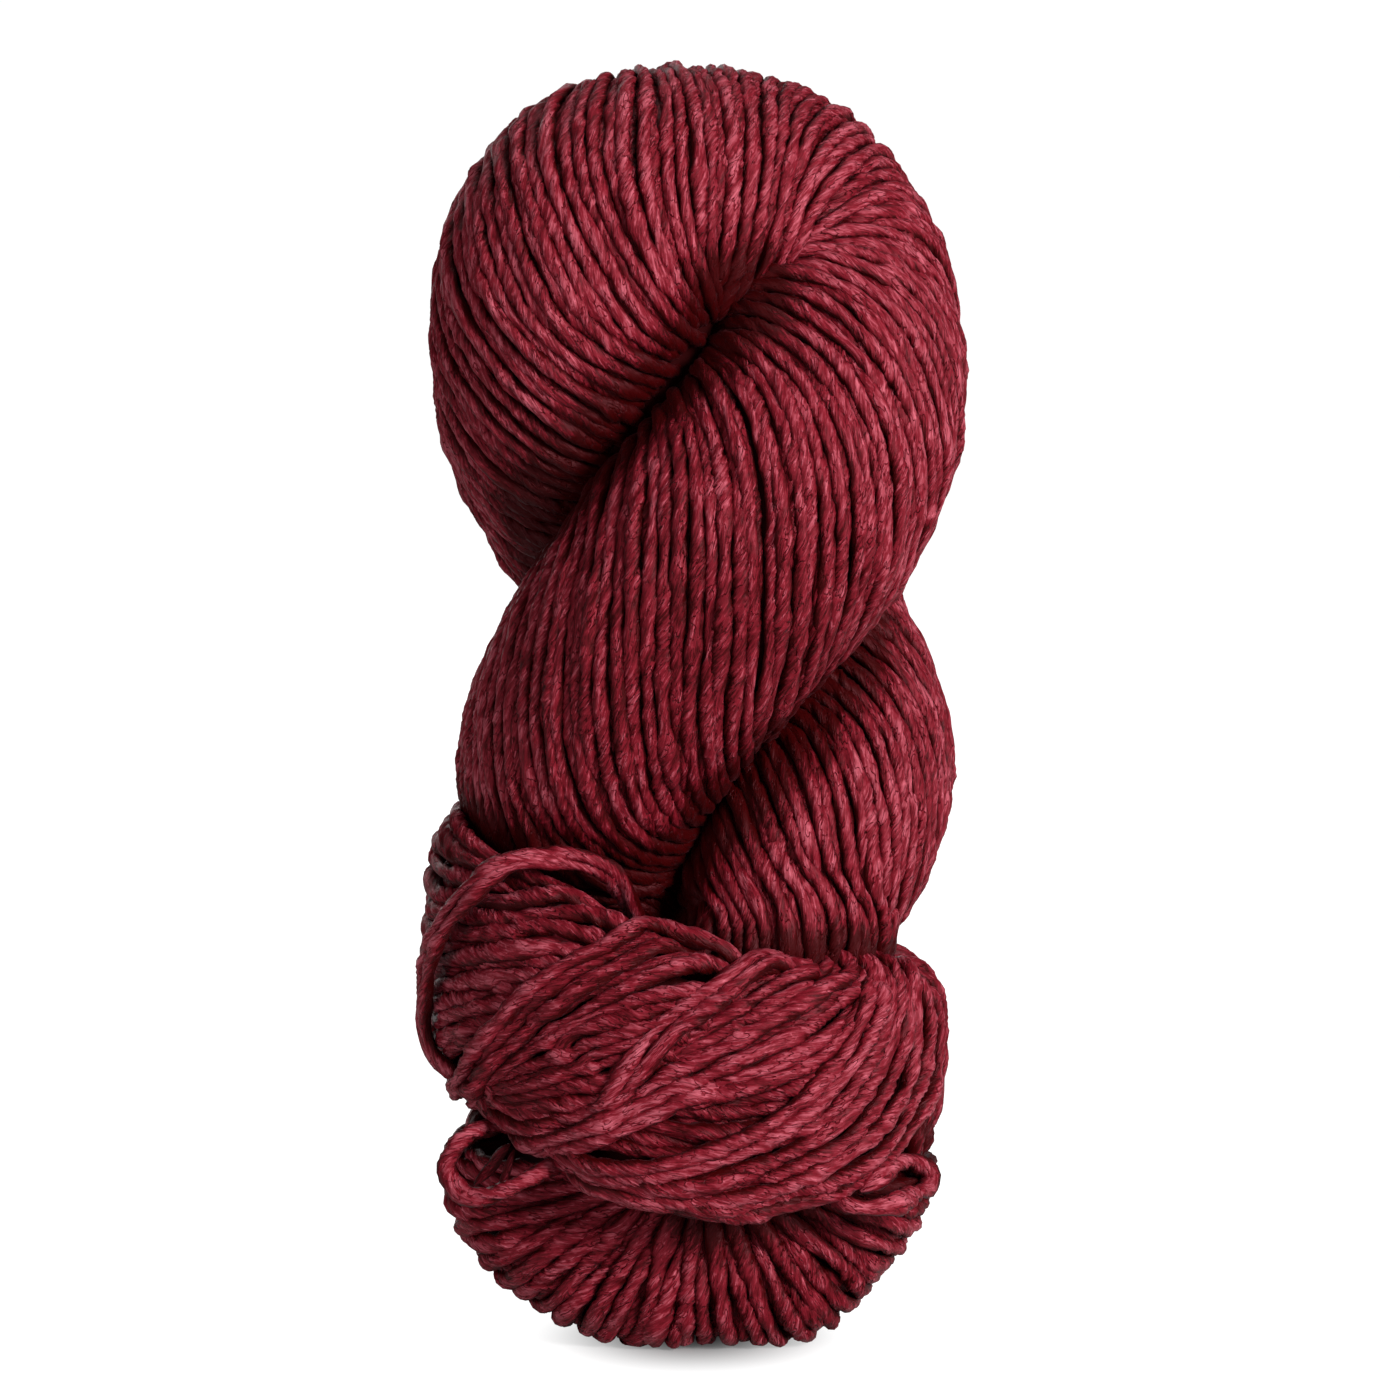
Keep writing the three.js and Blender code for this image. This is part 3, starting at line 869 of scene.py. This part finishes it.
def tuck_strands(mesh):
    random = np.random.default_rng(37)
    yarn = YARN * TUCK_SIZE
    turn = np.linspace(-1.0, 1.0, 91)
    rows = tuck_rows(24, *TUCK_RANGE)
    rims = np.array([tuck_loop(row, np.array([0.0]), 0.5 * yarn)[0] for row in rows])
    reach = lengths(rims)
    paths, normals = [], []
    for i in range(TUCK_LOOPS):
        place = reach[-1] * np.interp(i / (TUCK_LOOPS - 1), *zip(*TUCK_SPREAD))
        place = place + 0.2 * random.normal()
        row = [np.interp(place, reach, column) for column in rows.T]
        path, normal = loop_path(row, turn, wander(random, 1.6, turn), yarn)
        bob = 0.3 * wander(random, 1.0, turn) * (np.abs(turn) > 0.3) - 0.2
        path = path + bob[:, None] * normal
        path[:, 2] = np.maximum(path[:, 2], 0.5 * yarn)
        paths.append(path)
        normals.append(normal)
    paths, normals = np.array(paths), np.array(normals)
    paths, hidden, light = sunk(paths, normals, False, yarn)
    for i in range(len(paths)):
        light[i] *= painted_shade_under_loop(paths[i])
        for a, b in runs(widened(~hidden[i], 7), 6):
            size = TUCK_SIZE * (1.0 + SIZE_SPREAD * random.normal())
            mesh.add(paths[i][a:b], normals[i][a:b], random, size, light[i][a:b])
    for size, openness, hoop in HOOPS:
        rows = through_rows(hoop, 12)
        x, z = seen_at(rows[:, :2], rows[:, 2])
        path = np.stack([x, rows[:, 2], z], axis=1)
        front = np.tile([0.0, math.copysign(1.0, rows[0, 2]), 0.15], (len(path), 1))
        # Painted light for the hoop: the inner ones get painted shade.
        light = np.full(len(path), openness)
        mesh.add(path, front, random, size * TUCK_SIZE * 0.9, light)


def painted_shade_under_loop(path):
    """Painted light of the tucked end's strands: painted shade close under the wrapped loop."""
    middle, half = band_station(np.degrees(np.arctan2(path[:, 1], path[:, 0])))
    return 0.92 * nearness(middle - half - path[:, 2] + 3.5, 9.0, 0.2)


# What fills the skein under the strands that show, in painted shade

def skin(sections, closed):
    """Vertices and faces over sections of equally many points."""
    count, sides = len(sections), len(sections[0])
    vertices = np.vstack(sections)
    faces = []
    for i in range(count if closed else count - 1):
        near, far = i * sides, ((i + 1) % count) * sides
        for j in range(sides):
            nxt = (j + 1) % sides
            faces.append((near + j, near + nxt, far + nxt, far + j))
    if not closed:
        faces.append(tuple(range(sides - 1, -1, -1)))
        faces.append(tuple(range((count - 1) * sides, count * sides)))
    return vertices, faces


def make_core(name, sections, closed, material):
    vertices, faces = skin(sections, closed)
    mesh = bpy.data.meshes.new(name)
    mesh.from_pydata(in_metres(vertices).tolist(), [], faces)
    for polygon in mesh.polygons:
        polygon.use_smooth = True
    add_piece(name, mesh, material)


def cores(material):
    """Plain hearts of the rope, the wrapped loop and the tucked end, in near-black painted shade."""
    line = rope_line(3.0)
    outward, across = rope_frames(line)
    angles = np.linspace(0, 2 * math.pi, 32, endpoint=False)
    sections = [line[i, :3] + (line[i, 3] - ROPE_HEART_INSET)
                * (np.cos(angles)[:, None] * outward[i] + np.sin(angles)[:, None] * across[i])
                for i in range(len(line))]
    make_core("rope_heart", sections, False, material)
    around = np.linspace(0, 360, 72, endpoint=False)
    section_angles = np.linspace(0, 360, 24, endpoint=False)
    sections = [band_point(np.full(24, -a), section_angles, LOOP_HEART_INSET) for a in around]
    make_core("loop_heart", sections, True, material)
    turn = np.linspace(1.0, -1.0, 24)
    rows = tuck_rows(8, *TUCK_HEART_RANGE)
    sections = [tuck_loop(row, turn, TUCK_HEART_INSET) for row in rows]
    make_core("tuck_heart", sections, False, material)


# Materials

# Base colours of the silk from low to high; painted shade pulls the colour towards the low one.
SILK_SHADES = ((0.036, 0.0001, 0.0003), (0.19, 0.008, 0.017), (0.52, 0.110, 0.147))
# Near-black colours of the hearts: painted shade where they show between strands.
HEART_PAINTED_SHADES = ((0.020, 0.000, 0.000), (0.040, 0.000, 0.001), (0.070, 0.001, 0.002))
MIDDLE_SHADE = 0.45  # place of the middle one of the three
NOISE = (0.3, 0.7)  # nearly all of a noise lies between these
BUMP = 0.3  # height of the relief of the fibres


def add_node(tree, kind, values):
    """A new node, with values for its inputs by name or number."""
    made = tree.nodes.new(kind)
    for place, value in values.items():
        made.inputs[place].default_value = value
    return made


def blank_material(name):
    """A new material, its nodes, and the input for its surface."""
    material = bpy.data.materials.new(name)
    material.use_nodes = True
    tree = material.node_tree
    tree.nodes.clear()
    return material, tree, tree.nodes.new("ShaderNodeOutputMaterial").inputs["Surface"]


def silk_material(name, shades, roughness):
    """Soft plied silk: fibres along the twist, slits in painted shade, painted glints, a gentle sheen."""
    material, tree, surface = blank_material(name)
    link = tree.links.new
    shader = add_node(tree, "ShaderNodeBsdfPrincipled", {
        "Roughness": roughness, "Specular IOR Level": 0.22,
        "Specular Tint": (1.0, 0.40, 0.46, 1.0), "Sheen Weight": 0.03,
        "Sheen Roughness": 0.35, "Sheen Tint": (1.0, 0.35, 0.42, 1.0)})
    link(shader.outputs["BSDF"], surface)

    def stored(attribute, output):
        made = tree.nodes.new("ShaderNodeAttribute")
        made.attribute_name = attribute
        return made.outputs[output]

    def stretched(scale_along, scale, detail, rough):
        scaled = add_node(tree, "ShaderNodeVectorMath", {1: (1.0, 1.0, scale_along)})
        scaled.operation = "MULTIPLY"
        link(fibre, scaled.inputs[0])
        noise = add_node(tree, "ShaderNodeTexNoise",
                         {"Scale": scale, "Detail": detail, "Roughness": rough})
        link(scaled.outputs["Vector"], noise.inputs["Vector"])
        return noise.outputs["Fac"]

    def math_node(operation, a, b=None, clamp=False):
        made = tree.nodes.new("ShaderNodeMath")
        made.operation = operation
        made.use_clamp = clamp
        for socket, value in zip(made.inputs, (a, b)):
            if value is None:
                continue
            if isinstance(value, (int, float)):
                socket.default_value = value
            else:
                link(value, socket)
        return made.outputs[0]

    def times(value, factor):
        return math_node("MULTIPLY", value, factor)

    def total(first, *others):
        for other in others:
            first = math_node("ADD", first, other)
        return first

    def remap(value, low, high, to_low, to_high):
        made = add_node(tree, "ShaderNodeMapRange", {
            "From Min": low, "From Max": high, "To Min": to_low, "To Max": to_high})
        link(value, made.inputs["Value"])
        return made.outputs["Result"]

    def thin_lines(noise, width, where):
        """Lines where a noise crosses its middle, as strong as where says."""
        line = remap(math_node("ABSOLUTE", math_node("SUBTRACT", noise, 0.5)), 0.0, width, 1.0, 0.0)
        return math_node("MULTIPLY", line, where, clamp=True)

    fibre = stored("fibre", "Vector")
    hairs = stretched(0.05, 7.0, 2.0, 0.6)
    fine = stretched(0.20, 2.6, 3.0, 0.6)
    soft = stretched(0.32, 0.9, 2.0, 0.5)
    patch = stretched(0.06, 1.0, 1.0, 0.5)
    # The slits sink in the bump and get painted shade in the base colour.
    slit = thin_lines(stretched(0.30, 1.7, 1.0, 0.5), 0.04, remap(soft, 0.40, 0.58, 0.0, 1.0))
    # Painted glints: thin bright lines along the fibres.
    painted_glint = thin_lines(stretched(0.16, 2.3, 1.0, 0.5), 0.03, remap(fine, 0.42, 0.60, 0.0, 1.0))

    shade = total(remap(soft, *NOISE, 0.02, 0.42), remap(fine, *NOISE, -0.20, 0.28),
                  times(painted_glint, 0.30), remap(hairs, *NOISE, -0.10, 0.14),
                  remap(patch, *NOISE, -0.02, 0.12),
                  remap(stored("tone", "Fac"), 0.0, 1.0, -0.02, 0.12), times(slit, -0.5))
    # Painted light and shade from the strands' stored attribute, added to the base colour.
    openness = remap(stored("open", "Fac"), 0.0, 1.0, -0.85, 0.17)
    shade = math_node("ADD", shade, openness, clamp=True)
    ramp = tree.nodes.new("ShaderNodeValToRGB")
    ramp.color_ramp.elements[0].color = (*shades[0], 1.0)
    ramp.color_ramp.elements[1].color = (*shades[2], 1.0)
    ramp.color_ramp.elements.new(MIDDLE_SHADE).color = (*shades[1], 1.0)
    link(shade, ramp.inputs["Fac"])
    link(ramp.outputs["Color"], shader.inputs["Base Color"])

    height = total(times(fine, 0.6), times(soft, 0.8), times(hairs, 0.3), times(slit, -0.5))
    bump = add_node(tree, "ShaderNodeBump", {"Strength": 1.0, "Distance": BUMP * MM})
    link(height, bump.inputs["Height"])
    link(bump.outputs["Normal"], shader.inputs["Normal"])
    return material


silk = silk_material("silk", SILK_SHADES, 0.46)
painted_shade_heart = silk_material("silk_heart_painted_shade", HEART_PAINTED_SHADES, 0.8)

for prefix, letters, lay in (("rope_strands_", "abcd", rope_strands),
                             ("loop_strands_", "ab", band_strands)):
    strand_meshes = [StrandMesh() for _ in letters]
    lay(strand_meshes)
    for letter, strand_mesh in zip(letters, strand_meshes):
        strand_mesh.make(prefix + letter, silk)

tuck_mesh = StrandMesh()
tuck_strands(tuck_mesh)
tuck_mesh.make("tuck_strands", silk)

cores(painted_shade_heart)


# Floor and light

NEAR_GLOW = 0.03  # the floor shines by itself, less close to the skein: a painted contact shadow
FAR_GLOW = 1.03
GLOW_FROM = 0.004  # metres from the middle
GLOW_TO = 0.0405
GLOW_ACROSS = 1.55  # the painted shadow reaches less far to the sides
FLOOR_GREY = 0.3  # as the camera sees it
BOUNCE_GREY = 0.6  # as it lights the skein
FLOOR_HALF_SIZE = 8.0
ROOM_LIGHT = 0.12
ROOM_SEEN = 1.02  # as the camera sees it
WHITE = (1.0, 1.0, 1.0, 1.0)
LIGHT_TARGET = (0.0, 0.0, 0.09)
LIGHTS = [  # name, place and size in metres, and power in watts
    ("key", (0.78, -0.85, 0.45), 0.45, 18.0),
    ("fill", (-0.8, -0.9, 0.30), 0.7, 3.4),
    ("top", (0.0, 0.1, 1.2), 0.6, 3.0),
    ("back", (-0.35, 1.1, 0.45), 0.8, 2.6),
]


def only_for_camera(tree, seen, otherwise):
    """Mixes two shaders: one for what the camera sees directly, one for the light it gives."""
    path = tree.nodes.new("ShaderNodeLightPath")
    mix = tree.nodes.new("ShaderNodeMixShader")
    tree.links.new(path.outputs["Is Camera Ray"], mix.inputs["Fac"])
    tree.links.new(otherwise, mix.inputs[1])
    tree.links.new(seen, mix.inputs[2])
    return mix.outputs["Shader"]


def make_floor():
    material, tree, surface = blank_material("pale_floor")
    link = tree.links.new

    def grey(value):
        return add_node(tree, "ShaderNodeBsdfDiffuse", {"Color": (value, value, value, 1.0)})

    place = tree.nodes.new("ShaderNodeNewGeometry")
    scaled = add_node(tree, "ShaderNodeVectorMath", {1: (GLOW_ACROSS, 1.0, 1.0)})
    scaled.operation = "MULTIPLY"
    link(place.outputs["Position"], scaled.inputs[0])
    distance = tree.nodes.new("ShaderNodeVectorMath")
    distance.operation = "LENGTH"
    link(scaled.outputs["Vector"], distance.inputs[0])
    # Painted contact shadow: the floor's glow drops close to the skein.
    painted_shadow_glow = add_node(tree, "ShaderNodeMapRange", {
        "From Min": GLOW_FROM, "From Max": GLOW_TO, "To Min": NEAR_GLOW, "To Max": FAR_GLOW})
    painted_shadow_glow.interpolation_type = "SMOOTHSTEP"
    link(distance.outputs["Value"], painted_shadow_glow.inputs["Value"])
    glow = tree.nodes.new("ShaderNodeEmission")
    link(painted_shadow_glow.outputs["Result"], glow.inputs["Strength"])
    both = tree.nodes.new("ShaderNodeAddShader")
    link(grey(FLOOR_GREY).outputs["BSDF"], both.inputs[0])
    link(glow.outputs["Emission"], both.inputs[1])
    bounce = grey(BOUNCE_GREY).outputs["BSDF"]
    link(only_for_camera(tree, both.outputs["Shader"], bounce), surface)
    mesh = bpy.data.meshes.new("floor")
    size = FLOOR_HALF_SIZE
    mesh.from_pydata([(-size, -size, 0), (size, -size, 0), (size, size, 0), (-size, size, 0)],
                     [], [(0, 1, 2, 3)])
    mesh.materials.append(material)
    floor = add_object("floor", mesh)


def area_light(name, place, size, power):
    light = bpy.data.lights.new(name, "AREA")
    light.shape = "DISK"
    light.size = size
    light.energy = power
    lamp = add_object(name, light)
    lamp.location = place
    aim = Vector(LIGHT_TARGET) - Vector(place)
    lamp.rotation_euler = aim.to_track_quat("-Z", "Y").to_euler()


def make_room():
    world = bpy.data.worlds.new("studio")
    world.use_nodes = True
    tree = world.node_tree
    lit, seen = (add_node(tree, "ShaderNodeBackground", {"Color": WHITE, "Strength": strength})
                 for strength in (ROOM_LIGHT, ROOM_SEEN))
    room = only_for_camera(tree, seen.outputs["Background"], lit.outputs["Background"])
    tree.links.new(room, tree.nodes["World Output"].inputs["Surface"])
    bpy.context.scene.world = world


make_floor()
for light_row in LIGHTS:
    area_light(*light_row)
make_room()
bpy.context.scene.view_settings.view_transform = "Standard"
bpy.context.scene.view_settings.look = "None"
